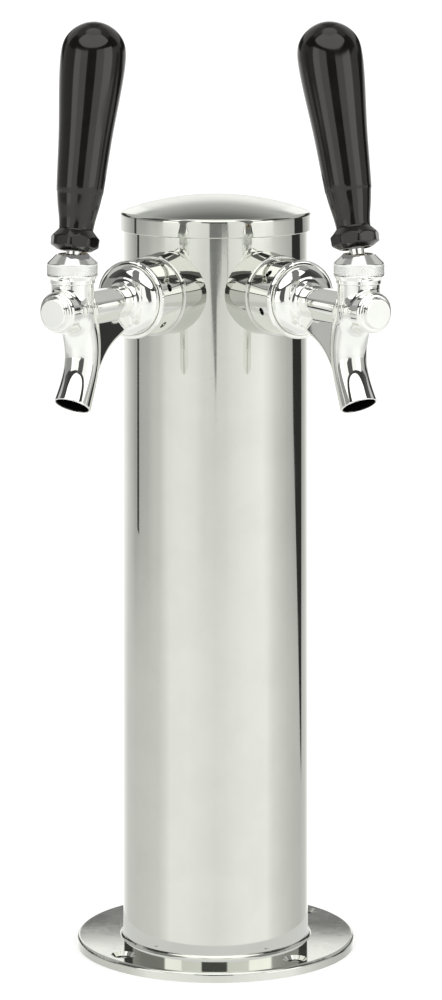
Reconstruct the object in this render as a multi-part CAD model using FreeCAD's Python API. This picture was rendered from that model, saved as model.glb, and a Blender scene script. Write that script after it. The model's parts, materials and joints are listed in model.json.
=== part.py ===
"""Twin-tap beer tower: a polished tube on a round flange, with two lever faucets on elbow shanks.

Frame: millimetres, +Z up, origin on the counter at the centre of the flange. The front is -Y.
Each faucet is built in its own frame, X along the shank away from the column's axis, Z up and
Z = 0 on the shank's axis, and is then turned and lifted into place.
"""
import FreeCAD
import Part
import math
import os

V = FreeCAD.Vector
X_AXIS = V(1, 0, 0)
Y_AXIS = V(0, 1, 0)
Z_AXIS = V(0, 0, 1)
ORIGIN = V(0, 0, 0)

# ---- driving dimensions: column, cap and base ----
COLUMN_R = 38.1              # 3 in tube
COLUMN_WALL = 1.2
COLUMN_BORE_R = COLUMN_R - COLUMN_WALL
COLUMN_TOP = 300.0
FLANGE_R = 57.15             # 4.5 in base
FLANGE_HEIGHT = 4.0
FLANGE_PLATE = 2.2           # pressed sheet thickness
GASKET_HEIGHT = FLANGE_HEIGHT - FLANGE_PLATE
FLANGE_ROUND = 1.2           # rounding of the rim's upper edge
WELD_LEG = 1.3
MOUNT_CIRCLE_R = 49.2        # 3-7/8 in bolt circle
MOUNT_HOLE_R = 3.5
MOUNT_SINK = 1.4             # depth of the 90 degree countersinks
MOUNT_HOLES = 4
FLANGE_CLOCKING = -4.4       # degrees the welded flange sits off square to the taps
CAP_R = 39.4
CAP_BOTTOM = 294.3
CAP_SHOULDER = 302.6         # where the dome would meet the skirt without its rounding
CAP_APEX = 308.6
CAP_SHEET = 1.2
CAP_ROUND = 2.4

# ---- driving dimensions: taps ----
SHANK_Z = 271.6              # height of both shank axes
TAP_ANGLE = 32.0             # degrees each tap points away from straight ahead
TAP_SIDES = {"left": -90.0 - TAP_ANGLE, "right": -90.0 + TAP_ANGLE}
SHANK_R = 11.05              # 7/8 in thread
COLLAR_FRONT = 48.9          # distances along the shank from the column's axis
NUT_BACK = 49.1
NUT_FRONT = 64.9
HUB_BACK = 58.5
HEAD_X = 105.3               # axis of the faucet's upright neck
BOSS_FRONT = 119.0
NECK_TOP = 10.5              # shoulder of the neck, where the bonnet sits
BALL_Z = 16.4                # lever ball's centre above the shank axis
BALL_R = 6.0
LEVER_ARM = 16.7             # ball's centre to the centre of the lever's tip
LEVER_LEAN = {"left": 10.2, "right": 14.0}  # degrees a shut lever leans back towards the column
SEAT_X = 66.0
NECK_THREAD_R = 8.0
WASHER_R = 7.9               # plastic ring between ball and bonnet
FIN_BACK = 68.5              # where the web's hollow edge leaves the bell
BARREL_BORE_R = 4.85
RUNNING_GAP = 0.05
SPANNER_HOLES = 6
SPANNER_CLOCKING = {"left": 19.0, "right": -17.0}

# ---- driving dimensions: handle ----
HANDLE_BASE = {"left": 6.6, "right": 7.7}  # underside above the ball's centre: how far each is screwed on
HANDLE_LENGTH = 90.2
HANDLE_FOOT_R = 9.75         # across the corners of the eight-sided foot, halved
INSERT_R = 5.7
INSERT_DEPTH = 18.5
LEVER_THREAD_R = 4.72

# ---- driving dimensions: inside the column ----
TAIL_X = 14.0                # beer lines run down this far from the column's axis
LINE_R = 5.55                # 7/16 in hose
LINE_BORE_R = 2.4            # 3/16 in bore
LINE_END = 8.0               # height of the trimmed lower ends


# ---- helpers ----
def face_of(edges):
    """A planar face inside a closed run of edges."""
    return Part.Face(Part.Wire(Part.__sortEdges__(edges)))


def polyline(points):
    """Straight edges joining the points in order, without closing them."""
    return [Part.makeLine(a, b) for a, b in zip(points, points[1:])]


def turned(points, axis):
    """Solid of revolution of a closed polygon. Points are (along, radius) for X, (radius, height) for Z."""
    if axis is X_AXIS:
        corners = [V(a, 0, r) for a, r in points]
    else:
        corners = [V(r, 0, h) for r, h in points]
    wire = Part.makePolygon(corners + corners[:1])
    return Part.Face(wire).revolve(ORIGIN, axis, 360)


def tube_x(outer, inner, x0, x1):
    """Ring along X."""
    ring = Part.makeCylinder(outer, x1 - x0, V(x0, 0, 0), X_AXIS)
    return ring.cut(rod_x(inner, x0 - 1, x1 + 1))


def rod_x(radius, x0, x1):
    """Solid cylinder along X."""
    return Part.makeCylinder(radius, x1 - x0, V(x0, 0, 0), X_AXIS)


def rod_z(radius, z0, z1, x=0.0):
    """Solid cylinder along Z."""
    return Part.makeCylinder(radius, z1 - z0, V(x, 0, z0), Z_AXIS)


def box(x0, x1, y0, y1, z0, z1):
    """Block between two corners."""
    return Part.makeBox(x1 - x0, y1 - y0, z1 - z0, V(x0, y0, z0))


def prism(sides, across_corners, height):
    """Regular prism standing on the XY plane."""
    corners = [
        V(math.cos(a), math.sin(a), 0) * (across_corners / 2)
        for a in (math.radians(360.0 * (i + 0.5) / sides) for i in range(sides))
    ]
    return Part.Face(Part.makePolygon(corners + corners[:1])).extrude(V(0, 0, height))


def hex_nut_x(across_flats, bore_r, x0, x1):
    """Chamfered hexagon nut along X with a flat on each lateral side."""
    corner_r = across_flats / math.sqrt(3)
    chamfer = 0.12 * corner_r
    nut = prism(6, 2 * corner_r, x1 - x0)
    nut.rotate(ORIGIN, Y_AXIS, 90)
    nut.translate(V(x0, 0, 0))
    blank = turned(
        [(x0, 0), (x0, corner_r - chamfer), (x0 + chamfer / 2, corner_r), (x1 - chamfer / 2, corner_r),
         (x1, corner_r - chamfer), (x1, 0)],
        X_AXIS,
    )
    return nut.common(blank).cut(rod_x(bore_r, x0 - 1, x1 + 1))


def bored_column_z(shape):
    """Trims a tap part back to the column's outer face."""
    return shape.cut(rod_z(COLUMN_R, -60, 60))


def placed(shape, side):
    """Carries a part from a faucet's frame to the tower's."""
    moved = shape.copy()
    moved.rotate(ORIGIN, Z_AXIS, TAP_SIDES[side])
    moved.translate(V(0, 0, SHANK_Z))
    return moved


# ---- column, cap and base ----
def column_tube():
    """Straight tube with a hole for each shank."""
    tube = rod_z(COLUMN_R, GASKET_HEIGHT, COLUMN_TOP).cut(rod_z(COLUMN_BORE_R, 0, COLUMN_TOP + 1))
    hole = rod_x(SHANK_R + 0.1, 20, 60)
    for side in TAP_SIDES:
        tube = tube.cut(placed(hole, side))
    return tube


def mount_hole_places(z):
    """Centres of the mounting holes at a height."""
    places = []
    for i in range(MOUNT_HOLES):
        angle = math.radians(FLANGE_CLOCKING - 45.0 + 360.0 * i / MOUNT_HOLES)
        places.append(V(MOUNT_CIRCLE_R * math.cos(angle), MOUNT_CIRCLE_R * math.sin(angle), z))
    return places


def drilled(shape, top):
    """Cuts the mounting holes through a plate that lies below top."""
    for place in mount_hole_places(-1):
        shape = shape.cut(Part.makeCylinder(MOUNT_HOLE_R, top + 2, place, Z_AXIS))
    return shape


def base_flange():
    """Pressed dish: flat plate, rounded rim turned down to the counter, and the weld round the tube."""
    weld_top = V(COLUMN_R, 0, FLANGE_HEIGHT + WELD_LEG)
    weld_foot = V(COLUMN_R + WELD_LEG, 0, FLANGE_HEIGHT)
    weld_mid = V(COLUMN_R + 0.36 * WELD_LEG, 0, FLANGE_HEIGHT + 0.36 * WELD_LEG)
    round_in = V(FLANGE_R - FLANGE_ROUND, 0, FLANGE_HEIGHT)
    round_out = V(FLANGE_R, 0, FLANGE_HEIGHT - FLANGE_ROUND)
    turn = FLANGE_ROUND * math.sqrt(0.5)
    round_mid = V(FLANGE_R - FLANGE_ROUND + turn, 0, FLANGE_HEIGHT - FLANGE_ROUND + turn)
    outline = polyline([V(COLUMN_R, 0, GASKET_HEIGHT), weld_top])
    outline.append(Part.Arc(weld_top, weld_mid, weld_foot).toShape())
    outline += polyline([weld_foot, round_in])
    outline.append(Part.Arc(round_in, round_mid, round_out).toShape())
    outline += polyline([
        round_out,
        V(FLANGE_R, 0, 0),
        V(FLANGE_R - FLANGE_PLATE, 0, 0),
        V(FLANGE_R - FLANGE_PLATE, 0, GASKET_HEIGHT),
        V(COLUMN_R, 0, GASKET_HEIGHT),
    ])
    flange = drilled(face_of(outline).revolve(ORIGIN, Z_AXIS, 360), FLANGE_HEIGHT)
    for place in mount_hole_places(FLANGE_HEIGHT - MOUNT_SINK):
        flange = flange.cut(Part.makeCone(MOUNT_HOLE_R, MOUNT_HOLE_R + MOUNT_SINK, MOUNT_SINK, place, Z_AXIS))
    return flange


def base_gasket():
    """Rubber ring that fills the hollow under the flange."""
    inner_r = 30.0
    ring = rod_z(FLANGE_R - FLANGE_PLATE - 0.2, 0, GASKET_HEIGHT).cut(rod_z(inner_r, -1, GASKET_HEIGHT + 1))
    return drilled(ring, GASKET_HEIGHT)


def dome_height(radius, apex, edge_r, edge_z):
    """Height at a radius of the spherical cap that runs from the apex to the edge."""
    sag = apex - edge_z
    sphere_r = (edge_r ** 2 + sag ** 2) / (2 * sag)
    return apex - sphere_r + math.sqrt(sphere_r ** 2 - radius ** 2)


def top_cap():
    """Spun cap: a plain skirt, a rounded shoulder and a low dome."""
    inner_r = COLUMN_R + 0.1
    foot_round = 0.3
    edge_r = CAP_R - 0.7 * CAP_ROUND
    edge_z = dome_height(edge_r, CAP_APEX, CAP_R, CAP_SHOULDER)
    dome_in = V(edge_r, 0, edge_z)
    skirt_top = V(CAP_R, 0, CAP_SHOULDER - CAP_ROUND)
    shoulder_mid = V(CAP_R - 0.16 * CAP_ROUND, 0, CAP_SHOULDER - 0.38 * CAP_ROUND)
    half_r = edge_r / 2
    half_way = V(half_r, 0, dome_height(half_r, CAP_APEX, CAP_R, CAP_SHOULDER))
    liner_edge = V(inner_r - 1.3, 0, COLUMN_TOP + 1.2)
    liner_apex = V(0, 0, CAP_APEX - CAP_SHEET)
    liner_half = V(half_r, 0, dome_height(half_r, liner_apex.z, liner_edge.x, liner_edge.z))
    outline = polyline([V(0, 0, liner_apex.z), V(0, 0, CAP_APEX)])
    outline.append(Part.Arc(V(0, 0, CAP_APEX), half_way, dome_in).toShape())
    outline.append(Part.Arc(dome_in, shoulder_mid, skirt_top).toShape())
    outline += polyline([
        skirt_top,
        V(CAP_R, 0, CAP_BOTTOM + foot_round),
        V(CAP_R - foot_round, 0, CAP_BOTTOM),
        V(inner_r, 0, CAP_BOTTOM),
        V(inner_r, 0, COLUMN_TOP + 0.2),
        liner_edge,
    ])
    outline.append(Part.Arc(liner_edge, liner_half, liner_apex).toShape())
    return face_of(outline).revolve(ORIGIN, Z_AXIS, 360)


def cap_grip_ring():
    """Plastic ring fixed inside the cap, with beads that grip the tube's bore."""
    outer = COLUMN_BORE_R - 0.3
    inner = outer - 1.6
    bottom = 289.5
    top = COLUMN_TOP + 1.2
    bead = 0.25
    profile = [(inner, bottom), (outer - 0.6, bottom), (outer, bottom + 0.8)]
    for z in (292.5, 296.5):
        profile += [(outer, z - 0.6), (outer + bead, z), (outer, z + 0.6)]
    profile += [(outer, top), (inner, top)]
    return turned(profile, Z_AXIS)


def top_foam_plug():
    """Foam disc that closes the column above the shanks."""
    bottom = 287.0
    top = COLUMN_TOP - 0.6
    outer = 34.4
    soft_edge = 0.8
    return turned(
        [(0, bottom), (outer - soft_edge, bottom), (outer, bottom + soft_edge), (outer, top - soft_edge),
         (outer - soft_edge, top), (0, top)],
        Z_AXIS,
    )


def insulation_sleeve():
    """Foam tube round the beer lines, slit down the back so that it wraps on."""
    bottom = 12.0
    top = 236.0
    sleeve = rod_z(COLUMN_BORE_R - 0.3, bottom, top).cut(rod_z(21.0, bottom - 1, top + 1))
    slit = box(-0.8, 0.8, 10, 50, bottom - 1, top + 1)
    return sleeve.cut(slit)


# ---- shank and its fixings ----
def collar_blank():
    """Outside of the shank collar: a cone that widens towards the column, with a rolled front lip."""
    back = 20.0
    lip_r = 16.25
    return turned(
        [(back, 0), (back, 18.3), (COLLAR_FRONT - 2.3, 15.9), (COLLAR_FRONT - 1.7, lip_r),
         (COLLAR_FRONT - 0.5, lip_r), (COLLAR_FRONT, 15.8), (COLLAR_FRONT, 0)],
        X_AXIS,
    )


def gasket_blank():
    """Space between the column and the collar that the collar gasket fills."""
    thickness = 1.0
    ring = tube_x(15.0, 11.4, 20, 60)
    shell = rod_z(COLUMN_R + thickness, -30, 30).cut(rod_z(COLUMN_R, -31, 31))
    return ring.common(shell)


def shank_collar():
    """Chromed collar, hollowed to sit on the round column."""
    collar = collar_blank().cut(rod_x(SHANK_R + 0.2, 10, 60))
    return bored_column_z(collar).cut(gasket_blank())


def collar_gasket():
    """Thin curved rubber washer under the collar."""
    return gasket_blank()


def shank():
    """Threaded shank with a head that holds the coupling nut, bored for beer."""
    head_back = 52.3
    head_front = 57.0
    back = 23.0
    body = turned(
        [(back, 0), (back, SHANK_R - 0.8), (back + 0.8, SHANK_R), (head_back, SHANK_R), (head_back, 13.6),
         (head_front - 0.6, 13.6), (head_front, 13.0), (head_front, 0)],
        X_AXIS,
    )
    bore = rod_x(2.4, back - 1, head_front + 1)
    tail_socket = rod_x(3.2, back - 1, 30.0)
    nut_room = rod_x(6.4, 47.0, head_front + 1)
    washer_room = rod_x(8.4, 54.0, head_front + 1)
    return body.cut(bore).cut(tail_socket).cut(nut_room).cut(washer_room)


def shank_tail():
    """Bent tail tube that turns the beer path down the column and ends in hose barbs."""
    outer = 3.2
    inner = 2.0
    bend = 7.0
    start = V(30.0, 0, 0)
    turn_start = V(TAIL_X + bend, 0, 0)
    half_turn = bend * (1 - math.sqrt(0.5))
    turn_mid = V(TAIL_X + half_turn, 0, -half_turn)
    turn_end = V(TAIL_X, 0, -bend)
    end = V(TAIL_X, 0, -36.0)
    path = Part.Wire([
        Part.makeLine(start, turn_start),
        Part.Arc(turn_start, turn_mid, turn_end).toShape(),
        Part.makeLine(turn_end, end),
    ])

    def swept(radius):
        circle = Part.Wire([Part.makeCircle(radius, start, X_AXIS)])
        return path.makePipeShell([circle], True, False)

    tail = swept(outer)
    for z in (-22.5, -27.5, -32.5):
        barb = Part.makeCone(outer, outer + 0.35, 2.5, V(TAIL_X, 0, z), V(0, 0, 1))
        tail = tail.fuse(barb)
    return tail.cut(swept(inner)).removeSplitter()


def backing_saddle():
    """Spacer inside the column: curved against the wall, flat towards the locknut."""
    ring = tube_x(14.0, SHANK_R + 0.1, 31.5, 45.0)
    return ring.common(rod_z(COLUMN_BORE_R, -30, 30))


def shank_locknut():
    """Thin hexagon nut that clamps the shank to the column."""
    return hex_nut_x(27.0, SHANK_R + 0.05, 26.5, 31.5)


def coupling_nut(side):
    """Round coupling nut with a rolled front bead and holes for a spanner's pin."""
    outer = 15.35
    bead = 15.75
    thread = 14.2
    lip_front = 52.2
    back_bore = SHANK_R + 0.25
    nut = turned(
        [(NUT_BACK, back_bore), (NUT_BACK, outer - 0.4), (NUT_BACK + 0.4, outer),
         (NUT_FRONT - 2.2, outer), (NUT_FRONT - 1.7, bead - 0.1), (NUT_FRONT - 1.2, bead),
         (NUT_FRONT - 0.5, bead - 0.15), (NUT_FRONT - 0.1, bead - 0.6), (NUT_FRONT, bead - 1.0),
         (NUT_FRONT - 0.3, thread), (lip_front, thread), (lip_front, back_bore)],
        X_AXIS,
    )
    hole_x = 57.9
    for i in range(SPANNER_HOLES):
        angle = math.radians(SPANNER_CLOCKING[side] + 360.0 * i / SPANNER_HOLES)
        inward = 1.0 if side == "left" else -1.0
        direction = V(0, inward * math.cos(angle), math.sin(angle))
        nut = nut.cut(Part.makeCylinder(1.6, 8, V(hole_x, 0, 0) + direction * 12, direction))
    return nut


def coupling_washer():
    """Rubber washer squeezed between the shank's head and the faucet."""
    return tube_x(13.0, 9.2, 57.0, HUB_BACK)


# ---- faucet body ----
def spout_stations():
    """Centre, outside radius and bore radius down the spout, in the faucet's XZ plane."""
    return [
        (HEAD_X - 2.3, -1.0, 7.4, 5.0),
        (HEAD_X - 5.8, -10.0, 7.3, 5.2),
        (HEAD_X - 6.9, -17.0, 7.1, 5.5),
        (HEAD_X - 5.9, -24.5, 6.9, 5.8),
        (HEAD_X - 2.9, -31.5, 7.0, 6.1),
        (HEAD_X + 0.3, -37.2, 7.35, 6.55),
    ]


def spout_solid(which):
    """Loft of circles square to the spout's curved centre line; which is 2 outside and 3 for the bore."""
    stations = spout_stations()
    line = Part.BSplineCurve()
    line.interpolate([V(s[0], 0, s[1]) for s in stations])
    rings = []
    for s in stations:
        centre = V(s[0], 0, s[1])
        tangent = line.tangent(line.parameter(centre))[0]
        rings.append(Part.Wire([Part.makeCircle(s[which], centre, tangent)]))
    return Part.makeLoft(rings, True, False)


def hub_profile():
    """Threaded hub inside the coupling nut, then the bell that narrows to the barrel."""
    barrel_r = 6.4
    hub_r = 14.1
    start = V(NUT_FRONT - 0.5, 0, hub_r)
    end = V(FIN_BACK + 3.6, 0, barrel_r)
    bell = Part.BSplineCurve()
    bell.interpolate(
        [start, V(66.6, 0, 13.3), V(68.5, 0, 11.5), V(69.5, 0, 9.4), V(70.3, 0, 7.4), end],
        InitialTangent=V(1, 0, -0.1),
        FinalTangent=V(1, 0, 0),
    )
    outline = polyline([V(HUB_BACK, 0, 0), V(HUB_BACK, 0, hub_r), start])
    outline.append(bell.toShape())
    outline += polyline([end, V(HEAD_X, 0, barrel_r), V(HEAD_X, 0, 0), V(HUB_BACK, 0, 0)])
    return face_of(outline).revolve(ORIGIN, X_AXIS, 360)


def boss():
    """Front end of the barrel: a rounded shoulder and a raised round button."""
    boss_r = 8.1
    shoulder = BOSS_FRONT - 2.3
    start = V(shoulder - 1.6, 0, boss_r)
    mid = V(shoulder - 0.47, 0, boss_r - 0.47)
    end = V(shoulder, 0, boss_r - 1.6)
    outline = polyline([V(HEAD_X - 1, 0, 0), V(HEAD_X - 1, 0, boss_r), start])
    outline.append(Part.Arc(start, mid, end).toShape())
    outline += polyline([
        end,
        V(shoulder, 0, 5.9),
        V(BOSS_FRONT - 0.5, 0, 5.9),
        V(BOSS_FRONT, 0, 5.4),
        V(BOSS_FRONT, 0, 0),
        V(HEAD_X - 1, 0, 0),
    ])
    return face_of(outline).revolve(ORIGIN, X_AXIS, 360)


def web():
    """Fin between the barrel's underside and the back of the spout, with a hollow curved edge."""
    half_thickness = 3.6
    curve = Part.BSplineCurve()
    edge = [V(FIN_BACK, 0, -9.0), V(79.5, 0, -14.6), V(88.6, 0, -21.6), V(93.6, 0, -29.5)]
    curve.interpolate(edge)
    outline = [curve.toShape()]
    outline += polyline([edge[-1], V(HEAD_X - 4, 0, -28.0), V(HEAD_X - 2, 0, 0), V(FIN_BACK, 0, 0), edge[0]])
    fin = face_of(outline).extrude(V(0, 2 * half_thickness, 0))
    fin.translate(V(0, -half_thickness, 0))
    return fin


def faucet_body():
    """Cast faucet: hub, barrel, upright neck, front boss, web and curved spout, all bored out."""
    neck_r = 8.4
    thread_top = BALL_Z - 0.5
    head = rod_z(neck_r, 0, NECK_TOP, HEAD_X)
    head = head.fuse(Part.makeSphere(neck_r, V(HEAD_X, 0, 0)))
    thread = rod_z(NECK_THREAD_R, NECK_TOP - 1, thread_top, HEAD_X)
    body = hub_profile()
    for piece in (boss(), web(), spout_solid(2), head, thread):
        body = body.fuse(piece)
    ball = V(HEAD_X, 0, BALL_Z)
    cavities = [
        rod_x(8.6, HUB_BACK - 1, SEAT_X),
        rod_x(BARREL_BORE_R, SEAT_X - 1, BOSS_FRONT - 2.9),
        spout_solid(3),
        Part.makeSphere(BALL_R + RUNNING_GAP, ball),
        rod_z(BALL_R + RUNNING_GAP, BALL_Z, BALL_Z + 8, HEAD_X),
        rod_z(4.9, BALL_Z - 8, BALL_Z - 4, HEAD_X),
        box(HEAD_X - 7.4, HEAD_X + 6.0, -3.4, 3.4, 0, BALL_Z - 7.0),
    ]
    for cavity in cavities:
        body = body.cut(cavity)
    mouth = spout_stations()[-1]
    before = spout_stations()[-2]
    direction = V(mouth[0] - before[0], 0, mouth[1] - before[1]).normalize()
    body = body.cut(Part.makeCylinder(mouth[3], 3, V(mouth[0], 0, mouth[1]) - direction * 0.4, direction))
    return body


# ---- valve ----
def shaft(side):
    """Sliding valve shaft: threaded back end, fluted guide and a front block with an eye for the lever."""
    guide_r = BARREL_BORE_R - RUNNING_GAP
    rod_r = 2.4
    eye_x = HEAD_X + LEVER_ARM * math.sin(math.radians(LEVER_LEAN[side]))
    block_back = eye_x - 7.0
    block_front = eye_x + 5.0
    rod = rod_x(rod_r, 60.6, block_back + 1)
    guide = rod_x(guide_r, 75.0, 86.0)
    for angle in (45, 135, 225, 315):
        flute = Part.makeCylinder(2.3, 20, V(70, 0, 5.2), X_AXIS)
        flute.rotate(ORIGIN, X_AXIS, angle)
        guide = guide.cut(flute)
    block = rod_x(guide_r, block_back, block_front)
    flat = 3.6
    block = block.common(box(block_back - 1, block_front + 1, -flat, flat, -10, 10))
    eye_half = 2.85
    eye_width = 2.85
    flare = 1.8
    slot = box(eye_x - eye_half, eye_x + eye_half, -eye_width, eye_width, -10, 10)
    corners = [
        V(eye_x - eye_half, -eye_width, 0.5),
        V(eye_x + eye_half, -eye_width, 0.5),
        V(eye_x + eye_half, -eye_width, 5.2),
        V(eye_x - eye_half, -eye_width, 5.2),
    ]
    corners[2] += V(flare, 0, 0)
    corners[3] -= V(flare, 0, 0)
    funnel = Part.Face(Part.makePolygon(corners + corners[:1])).extrude(V(0, 2 * eye_width, 0))
    return rod.fuse(guide).fuse(block).cut(slot).cut(funnel).removeSplitter()


def seat_washer():
    """Rubber washer that shuts against the seat inside the hub."""
    return turned([(63.4, 2.42), (63.4, 7.0), (64.6, 7.4), (SEAT_X, 6.6), (SEAT_X, 2.42)], X_AXIS)


def shaft_nut():
    """Small hexagon nut that holds the seat washer on the shaft."""
    return hex_nut_x(9.5, 2.42, 60.8, 63.4)


def leaned(shape, side):
    """Moves a part drawn upright on the ball's centre to the lever's place, leaning back as when shut."""
    moved = shape.copy()
    moved.rotate(ORIGIN, Y_AXIS, -LEVER_LEAN[side])
    moved.translate(V(HEAD_X, 0, BALL_Z))
    return moved


def lever(side):
    """Ball lever: rounded tip below, ball in the neck's seat, threaded stem above."""
    tip_r = 2.6
    stem_r = 3.0
    thread_r = LEVER_THREAD_R
    thread_bottom = HANDLE_BASE[side] + 1.0
    thread_top = HANDLE_BASE[side] + 17.0
    ball = Part.makeSphere(BALL_R)
    arm = Part.makeCone(1.5, 2.1, LEVER_ARM - 3, V(0, 0, -LEVER_ARM), Z_AXIS)
    tip = Part.makeSphere(tip_r, V(0, 0, -LEVER_ARM))
    stem = rod_z(stem_r, 4, thread_bottom + 0.5)
    thread = turned(
        [(0, thread_bottom), (stem_r + 0.6, thread_bottom), (thread_r, thread_bottom + 1.0),
         (thread_r, thread_top - 0.8), (thread_r - 0.8, thread_top), (0, thread_top)],
        Z_AXIS,
    )
    return leaned(ball.fuse(arm).fuse(tip).fuse(stem).fuse(thread).removeSplitter(), side)


def friction_washer():
    """Plastic ring squeezed between the ball and the bonnet, so that the lever stays where it is put."""
    outer = WASHER_R
    inner = 5.75
    bottom = BALL_Z + 0.3
    shoulder = BALL_Z + 1.9
    top = BALL_Z + 3.4
    ring = turned([(inner, bottom), (outer, bottom), (outer, shoulder), (6.5, top), (inner, top)], Z_AXIS)
    ring.translate(V(HEAD_X, 0, 0))
    return ring.cut(Part.makeSphere(BALL_R + RUNNING_GAP, V(HEAD_X, 0, BALL_Z)))


def bonnet():
    """Knurled nut that closes the neck over the ball: plain foot, knurl band and a coned top."""
    bore_r = NECK_THREAD_R + 0.05
    foot_r = 8.9
    band_r = 9.9
    mouth_r = 5.5
    band_bottom = NECK_TOP + 3.1
    cone_foot = NECK_TOP + 8.1
    top = BALL_Z + 5.6
    profile = [
        (bore_r, NECK_TOP), (foot_r - 0.3, NECK_TOP), (foot_r, NECK_TOP + 0.3), (foot_r, band_bottom - 1.5),
        (band_r - 0.4, band_bottom - 0.2), (band_r, band_bottom + 0.2), (band_r, cone_foot - 0.4),
        (band_r - 0.4, cone_foot), (mouth_r + 0.7, top), (mouth_r, top), (mouth_r, top - 1.0),
        (bore_r, BALL_Z + 2.0),
    ]
    nut = turned(profile, Z_AXIS)
    nut.translate(V(HEAD_X, 0, 0))
    return nut


# ---- handle ----
def handle_profile():
    """(distance from the top, radius) down the grip; a small step marks the moulding line at the neck."""
    upper = [(0.0, 0.0), (3.0, 8.2), (8.0, 11.9), (14.8, 12.9), (22.0, 12.65), (44.0, 10.7), (67.2, 9.2)]
    neck = [(67.7, 9.0), (72.8, 8.2), (78.8, 7.05), (83.8, 6.6)]
    return upper, neck


def handle(side):
    """Black moulded grip with an eight-sided foot."""
    base = HANDLE_BASE[side]
    apex = base + HANDLE_LENGTH
    upper, neck = handle_profile()
    grip = Part.BSplineCurve()
    grip.interpolate(
        [V(r, 0, apex - d) for d, r in upper],
        InitialTangent=V(1, 0, 0),
        FinalTangent=V(-0.08, 0, -1),
    )
    taper = Part.BSplineCurve()
    taper.interpolate([V(r, 0, apex - d) for d, r in neck])
    joint = [V(upper[-1][1], 0, apex - upper[-1][0]), V(neck[0][1], 0, apex - neck[0][0])]
    foot = V(neck[-1][1], 0, apex - neck[-1][0])
    inside = V(neck[-1][1], 0, base + 2)
    outline = [grip.toShape(), taper.toShape()]
    outline += polyline(joint)
    outline += polyline([foot, inside, V(0, 0, base + 2), V(0, 0, apex)])
    solid = face_of(outline).revolve(ORIGIN, Z_AXIS, 360)
    foot_top = base + 8.4
    nut = prism(8, 2 * HANDLE_FOOT_R, 10)
    nut.translate(V(0, 0, base))
    limits = turned(
        [(0, base), (INSERT_R + 0.7, base), (HANDLE_FOOT_R - 0.25, base + 1.9), (HANDLE_FOOT_R, base + 5.0),
         (neck[-1][1], foot_top), (0, foot_top)],
        Z_AXIS,
    )
    solid = solid.fuse(nut.common(limits))
    pocket = rod_z(INSERT_R, base - 1, base + INSERT_DEPTH)
    return leaned(solid.cut(pocket).removeSplitter(), side)


def handle_insert(side):
    """Threaded brass bush moulded into the handle."""
    bottom = HANDLE_BASE[side] + 0.8
    top = HANDLE_BASE[side] + INSERT_DEPTH
    bush = rod_z(INSERT_R, bottom, top).cut(rod_z(LEVER_THREAD_R + 0.04, bottom - 1, top - 0.5))
    return leaned(bush, side)


# ---- beer line ----
def beer_line():
    """Hose from the tail down the column, stretched where it passes over the barbs."""
    top = -16.0
    stretch_end = -37.0
    bottom = LINE_END - SHANK_Z
    hose = turned(
        [(3.6, top), (6.0, top), (6.0, stretch_end), (LINE_R, stretch_end - 3), (LINE_R, bottom),
         (LINE_BORE_R, bottom), (LINE_BORE_R, stretch_end - 2), (3.6, stretch_end)],
        Z_AXIS,
    )
    hose.translate(V(TAIL_X, 0, 0))
    return hose


def hose_clamp():
    """Pinch clamp with one crimped ear."""
    z0 = -31.0
    z1 = -24.0
    outer = 6.7
    band = turned([(6.0, z0), (outer, z0), (outer, z1), (6.0, z1)], Z_AXIS)
    ear = box(outer - 0.35, outer + 2.0, -1.4, 1.4, z0, z1)
    ear = ear.cut(box(outer + 0.4, outer + 1.4, -0.7, 0.7, z0 - 1, z1 + 1))
    clamp = band.fuse(ear).removeSplitter()
    clamp.translate(V(TAIL_X, 0, 0))
    return clamp


TOWER_PARTS = {
    "column_tube": column_tube,
    "base_flange": base_flange,
    "base_gasket": base_gasket,
    "top_cap": top_cap,
    "cap_grip_ring": cap_grip_ring,
    "top_foam_plug": top_foam_plug,
    "insulation_sleeve": insulation_sleeve,
}

TAP_PARTS = {
    "shank_collar": shank_collar,
    "collar_gasket": collar_gasket,
    "shank": shank,
    "shank_tail": shank_tail,
    "backing_saddle": backing_saddle,
    "shank_locknut": shank_locknut,
    "coupling_washer": coupling_washer,
    "faucet_body": faucet_body,
    "seat_washer": seat_washer,
    "shaft_nut": shaft_nut,
    "friction_washer": friction_washer,
    "bonnet": bonnet,
    "beer_line": beer_line,
    "hose_clamp": hose_clamp,
}

HANDED_TAP_PARTS = {
    "coupling_nut": coupling_nut,
    "shaft": shaft,
    "lever": lever,
    "handle": handle,
    "handle_insert": handle_insert,
}


def main():
    os.makedirs("parts", exist_ok=True)
    for name, build in TOWER_PARTS.items():
        build().exportStep(f"parts/{name}.step")
    for name, build in TAP_PARTS.items():
        shape = build()
        for side in TAP_SIDES:
            placed(shape, side).exportStep(f"parts/{side}_{name}.step")
    for name, build in HANDED_TAP_PARTS.items():
        for side in TAP_SIDES:
            placed(build(side), side).exportStep(f"parts/{side}_{name}.step")


main()
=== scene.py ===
"""Looks of the twin-tap beer tower: smooth meshes, procedural metals and a soft studio, on the CAD frame.

Frame: metres, +Z up, origin on the counter at the centre of the flange, front towards -Y.
Outlines are written in millimetres. A tap's pieces are made in the tap's own frame, X along the shank
away from the column and Z = 0 on the shank's axis, and are then turned and lifted into place.
"""
import json
import math

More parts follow.
